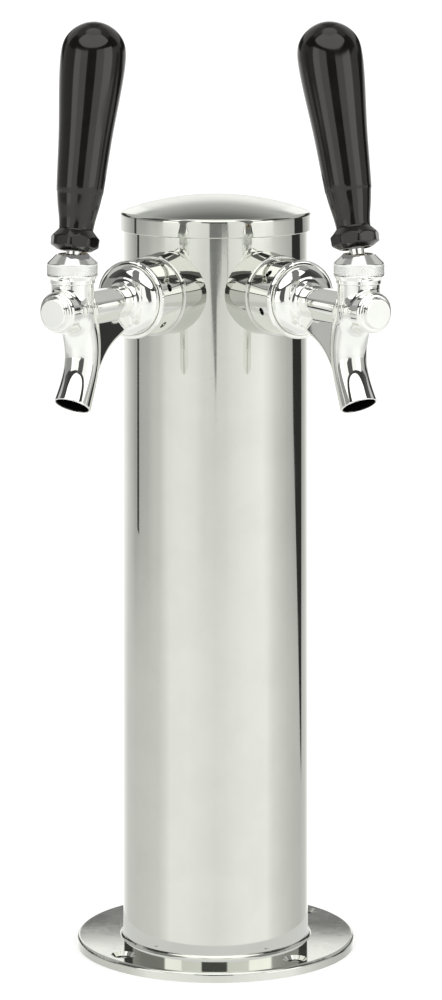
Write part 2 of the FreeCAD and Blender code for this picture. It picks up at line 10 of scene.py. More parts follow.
import bmesh
import bpy
import numpy as np
from mathutils import Matrix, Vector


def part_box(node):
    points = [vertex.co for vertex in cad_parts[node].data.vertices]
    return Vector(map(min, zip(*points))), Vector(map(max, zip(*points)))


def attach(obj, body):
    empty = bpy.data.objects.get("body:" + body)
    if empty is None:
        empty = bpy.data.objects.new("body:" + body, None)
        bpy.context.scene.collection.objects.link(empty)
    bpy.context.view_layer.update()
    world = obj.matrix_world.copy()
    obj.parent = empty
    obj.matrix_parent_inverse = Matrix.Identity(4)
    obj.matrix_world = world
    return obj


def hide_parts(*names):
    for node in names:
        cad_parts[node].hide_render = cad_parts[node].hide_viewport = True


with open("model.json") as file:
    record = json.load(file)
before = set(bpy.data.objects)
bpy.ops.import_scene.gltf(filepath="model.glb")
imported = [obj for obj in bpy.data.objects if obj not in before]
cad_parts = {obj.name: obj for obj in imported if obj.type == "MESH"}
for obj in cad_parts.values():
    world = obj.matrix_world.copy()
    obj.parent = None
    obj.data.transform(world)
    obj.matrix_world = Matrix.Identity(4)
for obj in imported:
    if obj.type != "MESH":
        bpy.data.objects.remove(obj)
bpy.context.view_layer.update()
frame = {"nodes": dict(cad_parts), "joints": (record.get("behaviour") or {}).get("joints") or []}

MM = 0.001
SIDES = ("left", "right")
JOINTS = {joint["name"]: joint for joint in frame["joints"]}


# ---------------------------------------------------------------- places, from the frame
BALL_X, BALL_Y, BALL_HEIGHT = [v / MM for v in JOINTS["left_lever_pull"]["pos_m"]]
HEAD_X = math.hypot(BALL_X, BALL_Y)          # neck's axis, from the column's axis
BALL_Z = 16.4                                # ball's centre above the shank's axis
SHANK_Z = BALL_HEIGHT - BALL_Z
COLUMN_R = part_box("column_tube")[1].x / MM
COLUMN_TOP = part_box("column_tube")[1].z / MM
CAP_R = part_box("top_cap")[1].x / MM
CAP_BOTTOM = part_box("top_cap")[0].z / MM
CAP_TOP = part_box("top_cap")[1].z / MM
NECK_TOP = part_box("left_bonnet")[0].z / MM - SHANK_Z
BONNET_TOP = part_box("left_bonnet")[1].z / MM - SHANK_Z


def tap_angle(side):
    """Direction of a tap's shank in the XY plane, in radians from +X."""
    x, y, _ = JOINTS[f"{side}_lever_pull"]["pos_m"]
    return math.atan2(y, x)


def tap_place(side):
    """Matrix from a tap's frame in millimetres to the tower's in metres."""
    turn = Matrix.Rotation(tap_angle(side), 4, "Z")
    return Matrix.Translation((0, 0, SHANK_Z * MM)) @ turn @ Matrix.Scale(MM, 4)


TOWER_PLACE = Matrix.Scale(MM, 4)


# ---------------------------------------------------------------- mesh helpers
def add_mesh(name, verts, faces, normals=None, place=TOWER_PLACE):
    """New object from arrays; given normals make its shading exact."""
    verts = np.asarray(verts, float)
    matrix = np.array(place)
    world = verts @ matrix[:3, :3].T + matrix[:3, 3]
    mesh = bpy.data.meshes.new(name)
    mesh.from_pydata(world.tolist(), [], [list(map(int, f)) for f in faces])
    mesh.validate()
    mesh.shade_smooth()
    if normals is not None:
        turned = np.asarray(normals) @ matrix[:3, :3].T
        turned /= np.linalg.norm(turned, axis=1)[:, None]
        mesh.normals_split_custom_set_from_vertices(turned.tolist())
    piece = bpy.data.objects.new(name, mesh)
    bpy.context.scene.collection.objects.link(piece)
    return piece


def stand_in(piece, node, finish, body):
    """Puts a finished piece in a CAD node's place: gives it its material, hides the node and joins it to its
    body.
    """
    piece.data.materials.append(MATERIALS[finish])
    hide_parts(node)
    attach(piece, body)


def fillet(corners, steps=7):
    """Outline through (a, b, radius) corners: all but the first and the last become arcs of short edges."""
    points = []
    count = len(corners)
    for i, (a, b, radius) in enumerate(corners):
        here = np.array([a, b], float)
        if radius <= 0 or i in (0, count - 1):
            points.append(here)
            continue
        before = np.array(corners[i - 1][:2], float) - here
        after = np.array(corners[i + 1][:2], float) - here
        before /= np.linalg.norm(before)
        after /= np.linalg.norm(after)
        half = math.acos(np.clip(before @ after, -1, 1)) / 2
        reach = radius / math.tan(half)
        centre = here + (before + after) / np.linalg.norm(before + after) * radius / math.sin(half)
        start = here + before * reach - centre
        end = here + after * reach - centre
        sweep = math.acos(np.clip(start @ end / radius ** 2, -1, 1))
        for k in range(steps + 1):
            t = k / steps
            weight = (math.sin((1 - t) * sweep), math.sin(t * sweep))
            points.append(centre + (start * weight[0] + end * weight[1]) / math.sin(sweep))
    return np.array(points)


def with_support(points, gap=0.08):
    """Adds a point near both ends of each long edge, so that smooth shading stays flat along it."""
    out = [points[0]]
    for a, b in zip(points, points[1:]):
        length = np.linalg.norm(b - a)
        if length > 6 * gap:
            out.append(a + (b - a) * gap / length)
            out.append(b - (b - a) * gap / length)
        out.append(b)
    return np.array(out)


def ring_mesh(rows, segments, closed=False):
    """Skin over rings about Z. A row is (radius or one for each step, height); radius 0 is a single point."""
    angles = np.arange(segments) / segments * 2 * math.pi
    verts, rings = [], []
    for radius, height in rows:
        if np.max(radius) < 1e-6:
            rings.append([len(verts)] * segments)
            verts.append((0.0, 0.0, height))
            continue
        rings.append(list(range(len(verts), len(verts) + segments)))
        verts.extend(zip(radius * np.cos(angles), radius * np.sin(angles), np.full(segments, height)))
    faces = []
    for low, high in zip(rings, rings[1:] + (rings[:1] if closed else [])):
        for i in range(segments):
            j = (i + 1) % segments
            corner = [low[i], low[j], high[j], high[i]]
            faces.append([v for k, v in enumerate(corner) if v != corner[k - 1]])
    return np.array(verts), faces


def spline(points, first, last, steps):
    """Smooth curve through points, with given directions at its ends."""
    points = np.array(points, float)
    gap = np.linalg.norm(np.diff(points, axis=0), axis=1)
    rise = np.diff(points, axis=0) / gap[:, None]
    count = len(points)
    system = np.eye(count)
    wanted = np.zeros((count, 2))
    wanted[0], wanted[-1] = first, last
    for i in range(1, count - 1):
        system[i, i - 1:i + 2] = gap[i], 2 * (gap[i - 1] + gap[i]), gap[i - 1]
        wanted[i] = 3 * (gap[i - 1] * rise[i] + gap[i] * rise[i - 1])
    slopes = np.linalg.solve(system, wanted)
    out = [points[0]]
    for i in range(count - 1):
        for t in np.arange(1, steps + 1) / steps:
            leave = t ** 3 - 2 * t ** 2 + t
            arrive = t ** 3 - t ** 2
            share = 3 * t ** 2 - 2 * t ** 3
            out.append((1 - share) * points[i] + share * points[i + 1]
                       + (leave * slopes[i] + arrive * slopes[i + 1]) * gap[i])
    return np.array(out)


def weld(piece, distance=1e-6):
    """Merges doubled points, such as those where a closed outline meets itself."""
    mesh = bmesh.new()
    mesh.from_mesh(piece.data)
    bmesh.ops.remove_doubles(mesh, verts=mesh.verts, dist=distance)
    bmesh.ops.recalc_face_normals(mesh, faces=mesh.faces)
    mesh.to_mesh(piece.data)
    mesh.free()


# ---------------------------------------------------------------- solid shapes as distance fields
def smooth_union(a, b, k):
    """a and b together, with a rounded inner corner of about k."""
    h = np.clip(0.5 + 0.5 * (b - a) / k, 0, 1)
    return b + (a - b) * h - k * h * (1 - h)


def smooth_cut(a, b, k):
    """a without b, with a rounded edge of about k."""
    return -smooth_union(-a, b, k)


def smooth_both(a, b, k):
    """What a and b share, with a rounded edge of about k."""
    return -smooth_union(-a, -b, k)


def capped_rod(along, across, low, high, radius, rounding):
    """Distance to a rod with rounded ends."""
    half = (high - low) / 2
    a = across - radius + rounding
    b = np.abs(along - low - half) - half + rounding
    outside = np.hypot(np.maximum(a, 0), np.maximum(b, 0))
    return np.minimum(np.maximum(a, b), 0) + outside - rounding


def polygon_distance(u, v, corners):
    """Signed distance in a plane to a closed polygon."""
    nearest = np.full(u.shape, 1e9)
    inside = np.zeros(u.shape, bool)
    for (u0, v0), (u1, v1) in zip(corners, np.roll(corners, -1, axis=0)):
        du, dv = u1 - u0, v1 - v0
        t = np.clip(((u - u0) * du + (v - v0) * dv) / (du * du + dv * dv), 0, 1)
        nearest = np.minimum(nearest, (u - u0 - t * du) ** 2 + (v - v0 - t * dv) ** 2)
        crosses = (v0 > v) != (v1 > v)
        inside ^= crosses & (u < u0 + (v - v0) * du / (dv if dv else 1e-9))
    return np.where(inside, -1, 1) * np.sqrt(nearest)


# ---------------------------------------------------------------- a field's surface as a mesh
def sampled(field, axes):
    """Values of the field on a grid, one slice across X at a time."""
    grid = np.empty([len(axis) for axis in axes])
    y, z = np.meshgrid(axes[1], axes[2], indexing="ij")
    for i, x in enumerate(axes[0]):
        grid[i] = field(np.stack([np.full(y.size, x), y.ravel(), z.ravel()], axis=1)).reshape(y.shape)
    return grid


def crossings(grid):
    """For each cell, how many of its edges the surface crosses, and the sum of the places where it does."""
    cells = [n - 1 for n in grid.shape]
    inside = grid < 0
    count = np.zeros(cells)
    total = np.zeros(cells + [3])
    for a in np.ndindex(2, 2, 2):
        for axis in range(3):
            if a[axis]:
                continue
            b = list(a)
            b[axis] = 1
            at_a = tuple(slice(a[d], a[d] + cells[d]) for d in range(3))
            at_b = tuple(slice(b[d], b[d] + cells[d]) for d in range(3))
            cross = inside[at_a] != inside[at_b]
            share = np.where(cross, grid[at_a] / np.where(cross, grid[at_a] - grid[at_b], 1), 0)
            for d in range(3):
                total[..., d] += np.where(cross, a[d] + (share if d == axis else 0), 0)
            count += cross
    return count, total


def quads(inside, index):
    """One quad round each grid edge that the surface crosses, facing outwards; index numbers the cells."""
    faces = []
    for axis in range(3):
        u, v = [d for d in range(3) if d != axis]
        ends = inside.shape[axis]
        lower = tuple(slice(0, ends - 1) if d == axis else slice(1, -1) for d in range(3))
        upper = tuple(slice(1, ends) if d == axis else slice(1, -1) for d in range(3))
        first, second = inside[lower], inside[upper]
        for leaving in (True, False):
            at = np.argwhere(first & ~second if leaving else ~first & second)
            if not len(at):
                continue
            at = at + np.array([0 if d == axis else 1 for d in range(3)])
            quad = []
            for du, dv in ((0, 0), (-1, 0), (-1, -1), (0, -1)):
                cell = at.copy()
                cell[:, u] += du
                cell[:, v] += dv
                quad.append(index[cell[:, 0], cell[:, 1], cell[:, 2]])
            quad = np.stack(quad, axis=1)
            faces.append(quad if leaving != (axis == 1) else quad[:, ::-1])
    return np.vstack(faces)


def gradient(field, points, reach=0.02):
    out = np.empty_like(points)
    for d in range(3):
        shift = np.zeros(3)
        shift[d] = reach
        out[:, d] = (field(points + shift) - field(points - shift)) / (2 * reach)
    return out


def surface_net(field, low, high, step):
    """Closed quad mesh of field = 0, pulled onto the exact surface. Returns vertices, faces and normals."""
    axes = [np.arange(a, b + step, step) for a, b in zip(low, high)]
    grid = sampled(field, axes)
    count, total = crossings(grid)
    active = count > 0
    index = np.full(active.shape, -1)
    index[active] = np.arange(active.sum())
    start = np.array([axis[0] for axis in axes])
    points = start + (np.argwhere(active) + total[active] / count[active][:, None]) * step
    for _ in range(5):
        steep = gradient(field, points)
        move = (field(points) / np.maximum((steep ** 2).sum(1), 0.2))[:, None] * steep
        length = np.linalg.norm(move, axis=1)
        move *= np.minimum(1, 0.35 * step / np.maximum(length, 1e-9))[:, None]
        points = points - move
    normals = gradient(field, points)
    normals /= np.maximum(np.linalg.norm(normals, axis=1), 1e-9)[:, None]
    return points, quads(grid < 0, index), normals


# ---------------------------------------------------------------- node graphs
class Graph:
    """Short way to write a node tree: each call makes a node, sets it up and returns its first output."""

    def __init__(self, tree):
        self.tree = tree
        tree.nodes.clear()

    def node(self, kind, inputs=(), **settings):
        """The new node itself, for those whose other outputs are wanted."""
        made = self.tree.nodes.new(kind)
        for key, value in settings.items():
            setattr(made, key, value)
        for key, value in dict(inputs).items():
            self.feed(made.inputs[key], value)
        return made

    def feed(self, socket, value):
        if isinstance(value, bpy.types.NodeSocket):
            self.tree.links.new(value, socket)
        elif value is not None:
            socket.default_value = value

    def math(self, operation, a, b=None, c=None, clamp=False):
        made = self.node("ShaderNodeMath", operation=operation, use_clamp=clamp)
        for socket, value in zip(made.inputs, (a, b, c)):
            self.feed(socket, value)
        return made.outputs[0]

    def scale(self, vector, factors):
        made = self.node("ShaderNodeVectorMath", operation="MULTIPLY")
        self.feed(made.inputs[0], vector)
        self.feed(made.inputs[1], factors)
        return made.outputs[0]

    def step(self, value, low, high, a=0.0, b=1.0, smooth=True):
        """Runs from a to b while value runs from low to high."""
        kind = "SMOOTHSTEP" if smooth else "LINEAR"
        made = self.node("ShaderNodeMapRange", interpolation_type=kind)
        for socket, number in zip(made.inputs, (value, low, high, a, b)):
            self.feed(socket, number)
        return made.outputs[0]

    def noise(self, vector, scale, detail=2.0, rough=0.5):
        made = self.node("ShaderNodeTexNoise", {"Vector": vector, "Scale": scale, "Detail": detail,
                                                "Roughness": rough})
        return made.outputs["Fac"]

    def mix(self, share, a, b):
        """Colour mix."""
        made = self.node("ShaderNodeMix", data_type="RGBA")
        self.feed(made.inputs[0], share)
        self.feed(made.inputs[6], a)
        self.feed(made.inputs[7], b)
        return made.outputs[2]

    def lerp(self, share, a, b):
        """Number mix."""
        made = self.node("ShaderNodeMix", data_type="FLOAT")
        self.feed(made.inputs[0], share)
        self.feed(made.inputs[2], a)
        self.feed(made.inputs[3], b)
        return made.outputs[0]

    def join(self, kind, first, second, **inputs):
        """Two shaders mixed or added."""
        made = self.node(kind, inputs)
        slots = [socket for socket in made.inputs if socket.type == "SHADER"]
        self.feed(slots[0], first)
        self.feed(slots[1], second)
        return made.outputs[0]

    def glow(self, radiance, strength=1.0):
        return self.node("ShaderNodeEmission", {"Color": grey(radiance), "Strength": strength}).outputs[0]


def grey(value):
    return (value, value, value, 1.0)


def tinted(colour, factor):
    return tuple(channel * factor for channel in colour) + (1.0,)


# ---------------------------------------------------------------- materials
STEEL = (0.715, 0.725, 0.675)
COLLAR_CHROME = (0.66, 0.665, 0.63)
CHROME = (0.93, 0.935, 0.905)
BRIGHT_CHROME = (0.97, 0.975, 0.95)
WARM_STEEL = (0.62, 0.61, 0.57)
BRASS = (0.76, 0.55, 0.27)
DULL_BRASS = (0.46, 0.43, 0.38)
BLACK_PLASTIC = (0.0052, 0.0048, 0.0046)
BLACK_RUBBER = (0.018, 0.018, 0.018)
RED_RUBBER = (0.30, 0.035, 0.025)
WHITE_NYLON = (0.72, 0.71, 0.66)
MATERIALS = {}


def surface(name):
    """New material, its graph and the object's own coordinates in millimetres."""
    material = bpy.data.materials.new(name)
    material.use_nodes = True
    MATERIALS[name] = material
    graph = Graph(material.node_tree)
    own = graph.node("ShaderNodeTexCoord").outputs["Object"]
    return graph, graph.scale(own, (1 / MM,) * 3)


def worn_edges(graph, radius):
    """Normal rounded over the edges within radius (mm), and a mask that is 1 on them."""
    rounded = graph.node("ShaderNodeBevel", {"Radius": radius * MM}, samples=4).outputs[0]
    flat = graph.node("ShaderNodeNewGeometry").outputs["Normal"]
    same = graph.node("ShaderNodeVectorMath", operation="DOT_PRODUCT")
    graph.feed(same.inputs[0], rounded)
    graph.feed(same.inputs[1], flat)
    return rounded, graph.step(same.outputs["Value"], 0.998, 0.93)


def bumped(graph, height, depth, normal=None):
    """Normal of a surface whose height runs over depth (mm)."""
    inputs = {"Strength": 1.0, "Distance": depth * MM, "Height": height, "Normal": normal}
    return graph.node("ShaderNodeBump", inputs).outputs[0]


def shade(graph, inputs, painted_reflection_glow=0.0):
    """Ends a material. Its last argument is a painted reflection: a fixed glow that stands in for the piece
    wherever its neighbours' polish mirrors it.
    """
    shader = graph.node("ShaderNodeBsdfPrincipled", inputs).outputs[0]
    # painted reflection: glossy rays meet a fixed glow here, not the piece's own shading
    if painted_reflection_glow:
        glossy = graph.node("ShaderNodeLightPath").outputs["Is Glossy Ray"]
        shader = graph.join("ShaderNodeMixShader", shader, graph.glow(painted_reflection_glow), Fac=glossy)
    graph.node("ShaderNodeOutputMaterial", {"Surface": shader})


def metal(name, colour, rough, grain, grain_depth, grain_rough, wave_depth=0.0, edge=0.12, satin=None,
          hollow=None, painted_reflection_glow=0.0):
    """Polished or plated metal: fine polishing lines along the low numbers of grain (per mm), uneven buffing,
    a slight waviness, scattered hairline marks, and edges (mm) worn rounder and duller.

    satin is (from, to, roughness added) with height; hollow names the attribute that marks an inside that
    gets painted shade, near black, and more roughness.
    """
    graph, mm = surface(name)
    rounded, worn = worn_edges(graph, edge)
    lines = graph.noise(graph.scale(mm, grain), 1.0, 3.0, 0.6)
    buffing = graph.noise(mm, 0.05, 4.0, 0.6)
    marks = graph.step(graph.noise(graph.scale(mm, (0.25, 2.2, 0.5)), 1.0, 2.0), 0.68, 0.74)
    roughness = graph.math("MULTIPLY", graph.step(buffing, 0.3, 0.7, 0.65, 1.35), rough)
    roughness = graph.math("MULTIPLY_ADD", graph.step(lines, 0.35, 0.75), grain_rough, roughness)
    roughness = graph.math("MULTIPLY_ADD", marks, 0.04, roughness)
    roughness = graph.math("MULTIPLY_ADD", worn, 0.10, roughness)
    if satin:
        height = graph.node("ShaderNodeSeparateXYZ", {"Vector": mm}).outputs["Z"]
        roughness = graph.math("ADD", roughness, graph.step(height, satin[0], satin[1], 0.0, satin[2]))
    normal = rounded
    if wave_depth:
        normal = bumped(graph, graph.noise(mm, 0.16, 2.0, 0.4), wave_depth, normal)
    normal = bumped(graph, lines, grain_depth, normal)
    dull = graph.mix(graph.step(buffing, 0.35, 0.65), tinted(colour, 0.965), tinted(colour, 1.0))
    tone = graph.mix(graph.math("MULTIPLY", worn, 0.5), dull, tinted(colour, 0.93))
    # painted shade: the marked inside is coloured near black, and made rougher
    if hollow:
        inside = graph.node("ShaderNodeAttribute", attribute_name=hollow).outputs["Fac"]
        tone = graph.mix(inside, tone, grey(0.012))
        roughness = graph.lerp(inside, roughness, 0.5)
    shade(graph, {"Base Color": tone, "Metallic": 1.0, "Roughness": roughness, "Normal": normal}, painted_reflection_glow)


def moulded(name, colour, rough, grain, depth, ior=1.5, mottling=0.12, soft=0.0, painted_reflection_glow=0.0):
    """Moulded plastic or rubber: fine leathery grain (per mm), mottled tone, paler rubbed edges."""
    graph, mm = surface(name)
    rounded, worn = worn_edges(graph, 0.15)
    pits = graph.noise(mm, grain, 3.0, 0.6)
    mottle = graph.noise(mm, 0.12, 4.0, 0.65)
    marks = graph.step(graph.noise(graph.scale(mm, (1.6, 1.6, 0.12)), 1.0, 2.0), 0.66, 0.74)
    darker, paler = tinted(colour, 1 - mottling), tinted(colour, 1 + mottling)
    tone = graph.mix(graph.step(mottle, 0.3, 0.7), darker, paler)
    tone = graph.mix(graph.math("MULTIPLY", worn, 0.35), tone, tinted(colour, 1.6))
    roughness = graph.step(mottle, 0.3, 0.7, rough * 0.8, rough * 1.2)
    roughness = graph.math("MULTIPLY_ADD", marks, rough * 0.5, roughness)
    roughness = graph.math("MULTIPLY_ADD", worn, 0.1, roughness, clamp=True)
    shade(graph, {"Base Color": tone, "Roughness": roughness, "IOR": ior,
                  "Specular Tint": (1.0, 0.95, 0.92, 1.0), "Subsurface Weight": soft,
                  "Subsurface Scale": 2 * MM, "Normal": bumped(graph, pits, depth, rounded)}, painted_reflection_glow)


def vinyl(name):
    """Clear, slightly yellow hose wall, hazy where it was handled."""
    graph, mm = surface(name)
    haze = graph.noise(mm, 0.3, 3.0, 0.6)
    draw = graph.noise(graph.scale(mm, (1.5, 1.5, 0.02)), 1.0, 2.0)
    shade(graph, {"Base Color": (0.93, 0.93, 0.86, 1.0), "Transmission Weight": 0.9, "IOR": 1.53,
                  "Roughness": graph.step(haze, 0.3, 0.7, 0.08, 0.2), "Normal": bumped(graph, draw, 0.02)})


def foam(name):
    """Closed-cell foam: small round cells, with painted shade in the low seams between them."""
    graph, mm = surface(name)
    voronoi = graph.node("ShaderNodeTexVoronoi", {"Vector": mm, "Scale": 1.4}, feature="F1")
    cells = voronoi.outputs["Distance"]
    # painted shade: darker where the cells meet, in the low seams of the bump
    tone = graph.mix(graph.step(cells, 0.2, 0.75), (0.15, 0.15, 0.155, 1.0), (0.06, 0.06, 0.065, 1.0))
    shade(graph, {"Base Color": tone, "Roughness": graph.step(cells, 0.2, 0.8, 0.8, 0.95),
                  "Normal": bumped(graph, graph.math("SUBTRACT", 1.0, cells), 0.25)})


# metal: name, colour, roughness, then polishing lines (per mm along X, Y and Z), their depth and roughness
metal("column_stainless", STEEL, 0.045, (0.015, 0.015, 1.7), 0.00035, 0.02)
# the flange shows in the column's polish as a painted reflection, a fixed glow of 0.79
metal("flange_stainless", STEEL, 0.06, (0.5, 0.5, 0.5), 0.0003, 0.03, painted_reflection_glow=0.79)
metal("cap_stainless", STEEL, 0.045, (0.02, 0.02, 1.6), 0.0003, 0.02, edge=0.05,
      satin=(CAP_TOP - 5.4, CAP_TOP - 4.0, 0.16))
metal("chrome_collar", COLLAR_CHROME, 0.03, (0.4, 0.4, 0.4), 0.0002, 0.01)
metal("chrome_nut", CHROME, 0.03, (0.4, 0.4, 0.4), 0.0002, 0.01)
# the spout's bore, marked by its attribute, gets painted shade: near black
metal("chrome_faucet", CHROME, 0.03, (0.3, 0.3, 0.3), 0.0004, 0.01, wave_depth=0.004, hollow="bore")
metal("chrome_bonnet", BRIGHT_CHROME, 0.04, (0.4, 0.4, 0.4), 0.0002, 0.02)
metal("chrome_lever", CHROME, 0.05, (0.4, 0.4, 0.4), 0.0002, 0.02)
metal("stainless_tail", WARM_STEEL, 0.22, (2.2, 0.05, 0.05), 0.002, 0.1)
metal("stainless_valve", WARM_STEEL, 0.16, (2.0, 0.05, 0.05), 0.002, 0.08)
metal("clamp_stainless", WARM_STEEL, 0.2, (0.1, 0.1, 2.0), 0.002, 0.1)
metal("brass_insert", BRASS, 0.25, (0.1, 0.1, 2.0), 0.003, 0.1)
metal("brass_shank", DULL_BRASS, 0.24, (1.8, 0.08, 0.08), 0.003, 0.1)
metal("brass_fixings", BRASS, 0.28, (1.0, 1.0, 1.0), 0.003, 0.1)
# the handles show in the chrome as a painted reflection, a fixed glow of 0.2
moulded("black_handle", BLACK_PLASTIC, 0.1, grain=0.8, depth=0.0012, ior=1.6, mottling=0.25, painted_reflection_glow=0.2)
moulded("black_rubber", BLACK_RUBBER, 0.62, grain=5.0, depth=0.02)
moulded("red_rubber", RED_RUBBER, 0.55, grain=5.0, depth=0.02)
moulded("white_nylon", WHITE_NYLON, 0.35, grain=2.0, depth=0.006, soft=0.3)
vinyl("clear_vinyl")
foam("grey_foam")

for node in frame["nodes"].values():
    for place in node.material_slots:
        place.material = MATERIALS[place.material.name.split(".")[0]]


# ---------------------------------------------------------------- faucet body
HUB_BACK = 58.5                              # rear face, inside the coupling nut
HUB_R = 14.1
BELL_FROM = 64.2
BELL_LENGTH = 6.2
BELL_POWER = 2.6                             # of the superellipse that the bell is in section
SEAT_X = 66.0                                # valve seat
BARREL_R = 6.4
NECK_R = 8.4
SOCKET_WALL_R = 8.0                          # of the part of the neck that the bonnet covers
SHOULDER_R = 8.1                             # in front of the neck
BOSS_R = 5.9
BOSS_FRONT = 119.0
FIN_HALF = 3.6                               # half its thickness
HUB_BORE_R = 8.6
BARREL_BORE_R = 4.85
SOCKET_R = 6.05                              # round the lever's ball
WAIST_R = 4.9                                # under the ball
TIP_SLOT = (6.7, 3.4, 4.7)                   # half sizes of the room for the lever's tip
BROAD_BLEND, BLEND, SHARP_BLEND = 2.6, 1.6, 0.35   # radii where the casting's limbs and edges meet
NET_STEP = 0.42                              # size of the casting's mesh
# down the spout, from the neck: (offset from the neck's axis, height, outside radius, bore radius)
SPOUT = np.array([(-2.3, -1.0, 7.4, 5.0), (-5.8, -10.0, 7.3, 5.2), (-6.9, -17.0, 7.1, 5.5),
                  (-5.9, -24.5, 6.9, 5.8), (-2.9, -31.5, 7.0, 6.1), (0.3, -37.2, 7.35, 6.55)])
OUTSIDE, BORE = 2, 3                         # columns of SPOUT


def fin_outline():
    """The fin's outline: its hollow rear edge as a smooth curve, then back up inside the head."""
    rear = np.array([(68.5, -9.0), (79.5, -14.6), (88.6, -21.6), (93.6, -29.5)])
    bend = np.polyfit(rear[:, 0], rear[:, 1], 3)
    x = np.linspace(rear[0, 0], rear[-1, 0], 26)
    edge = np.stack([x, np.polyval(bend, x)], axis=1)
    return np.vstack([edge, [(HEAD_X - 4, -28.0), (HEAD_X - 2, 0.0), (rear[0, 0], 0.0)]])


def spout_tube(x, y, z, column):
    """Distance to the curved spout's outside or bore."""
    bend = np.polyfit(SPOUT[:, 1], SPOUT[:, 0], 4)
    size = np.polyfit(SPOUT[:, 1], SPOUT[:, column], 3)
    clamped = np.clip(z, -42, 2)
    tilt = np.polyval(np.polyder(bend), clamped)
    offset = (x - HEAD_X - np.polyval(bend, clamped)) / np.sqrt(1 + tilt ** 2)
    return np.hypot(offset, y) - np.polyval(size, clamped)


def past_mouth(x, z):
    """How far a point is beyond the plane of the spout's mouth."""
    lean = SPOUT[-1, :2] - SPOUT[-2, :2]
    lean /= np.linalg.norm(lean)
    return (x - HEAD_X - SPOUT[-1, 0]) * lean[0] + (z - SPOUT[-1, 1]) * lean[1]


def bell_distance(x, across):
    """Distance to the hub and the round bell in front of it."""
    ahead = np.maximum(x - BELL_FROM, 0) / BELL_LENGTH + 1e-6
    wide = across / HUB_R + 1e-6
    level = ahead ** BELL_POWER + wide ** BELL_POWER
    steep = level ** (1 / BELL_POWER - 1) * np.hypot(ahead ** (BELL_POWER - 1) / BELL_LENGTH,
                                                     wide ** (BELL_POWER - 1) / HUB_R)
    return (level ** (1 / BELL_POWER) - 1) / steep


def faucet_casting(x, y, z):
    """Distance to the body before it is bored: every joint between its limbs is blended round."""
    across = np.hypot(y, z)                  # from the shank's axis
    upright = np.hypot(x - HEAD_X, y)        # from the neck's axis
    barrel = capped_rod(x, across, HUB_BACK + 3.5, HEAD_X + 2, BARREL_R, 1.0)
    body = smooth_union(bell_distance(x, across), barrel, BROAD_BLEND)
    neck = np.maximum(np.maximum(upright - NECK_R, z - NECK_TOP), -z)
    neck = np.minimum(neck, np.maximum(np.hypot(upright, z) - NECK_R, z))
    fin = smooth_both(polygon_distance(x, z, fin_outline()), np.abs(y) - FIN_HALF, BLEND)
    body = smooth_union(body, fin, 1.0)
    body = np.maximum(body, across - HUB_R - 3 * np.maximum(x - BELL_FROM - 1, 0))
    spout = np.maximum(spout_tube(x, y, z, OUTSIDE), z)
    body = smooth_union(body, smooth_union(neck, spout, BROAD_BLEND), BLEND)
    body = smooth_union(body, capped_rod(x, across, HEAD_X, BOSS_FRONT - 2.3, SHOULDER_R, 1.5), BLEND)
    body = smooth_union(body, capped_rod(x, across, HEAD_X + 8, BOSS_FRONT, BOSS_R, 0.55), SHARP_BLEND)
    body = smooth_union(body, capped_rod(z, upright, 0, BALL_Z - 0.5, SOCKET_WALL_R, 0.4), 0.2)
    body = np.maximum(body, HUB_BACK - x)
    return smooth_cut(body, -past_mouth(x, z), SHARP_BLEND)


def faucet_field(points):
    """Distance to the cast, bored and plated faucet body."""
    x, y, z = points.T
    across = np.hypot(y, z)
    upright = np.hypot(x - HEAD_X, y)
    spout_bore = np.maximum(spout_tube(x, y, z, BORE), z + 1.0)
    body = smooth_cut(faucet_casting(x, y, z), spout_bore, SHARP_BLEND)
    long, wide, high = TIP_SLOT
    cavities = (
        np.maximum(across - HUB_BORE_R, x - SEAT_X),
        np.maximum(np.maximum(across - BARREL_BORE_R, SEAT_X - 1 - x), x - BOSS_FRONT + 2.9),
        np.hypot(upright, z - BALL_Z) - SOCKET_R,
        np.maximum(upright - SOCKET_R, BALL_Z - z),
        np.maximum(upright - WAIST_R, np.abs(z - BALL_Z + 6) - 2),
        np.maximum(np.maximum(np.abs(x - HEAD_X + 0.7) - long, np.abs(y) - wide), np.abs(z - high) - high),
    )
    for cavity in cavities:
        body = np.maximum(body, -cavity)
    return body


def make_faucets():
    """Both castings from one mesh; the attribute "bore" is 1 inside the spout, where chrome_faucet paints
    shade.
    """
    low = (HUB_BACK - 1.2, -HUB_R - 1.5, SPOUT[-1, 1] - 4.4)
    high = (BOSS_FRONT + 1.6, HUB_R + 1.5, BALL_Z + 0.8)
    points, faces, normals = surface_net(faucet_field, low, high, NET_STEP)
    x, y, z = points.T
    depth = np.maximum(spout_tube(x, y, z, BORE) - 0.3, z + 2.0)
    bore = np.clip(-depth / 0.2, 0, 1)
    for side in SIDES:
        piece = add_mesh(f"{side}_faucet_casting", points, faces, normals, tap_place(side))
        mark = piece.data.attributes.new("bore", "FLOAT", "POINT")
        mark.data.foreach_set("value", bore)
        stand_in(piece, f"{side}_faucet_body", "chrome_faucet", "tower")


# ---------------------------------------------------------------- bonnet
KNURL_R = 9.95
KNURL_LOW = NECK_TOP + 3.2
KNURL_HIGH = NECK_TOP + 7.8
KNURL_PITCHES = 56
KNURL_DEPTH = 0.42
POINTS_A_PITCH = 6
BONNET_FOOT_R = 8.9
BONNET_BORE_R = 8.05
BONNET_MOUTH_R = 5.5


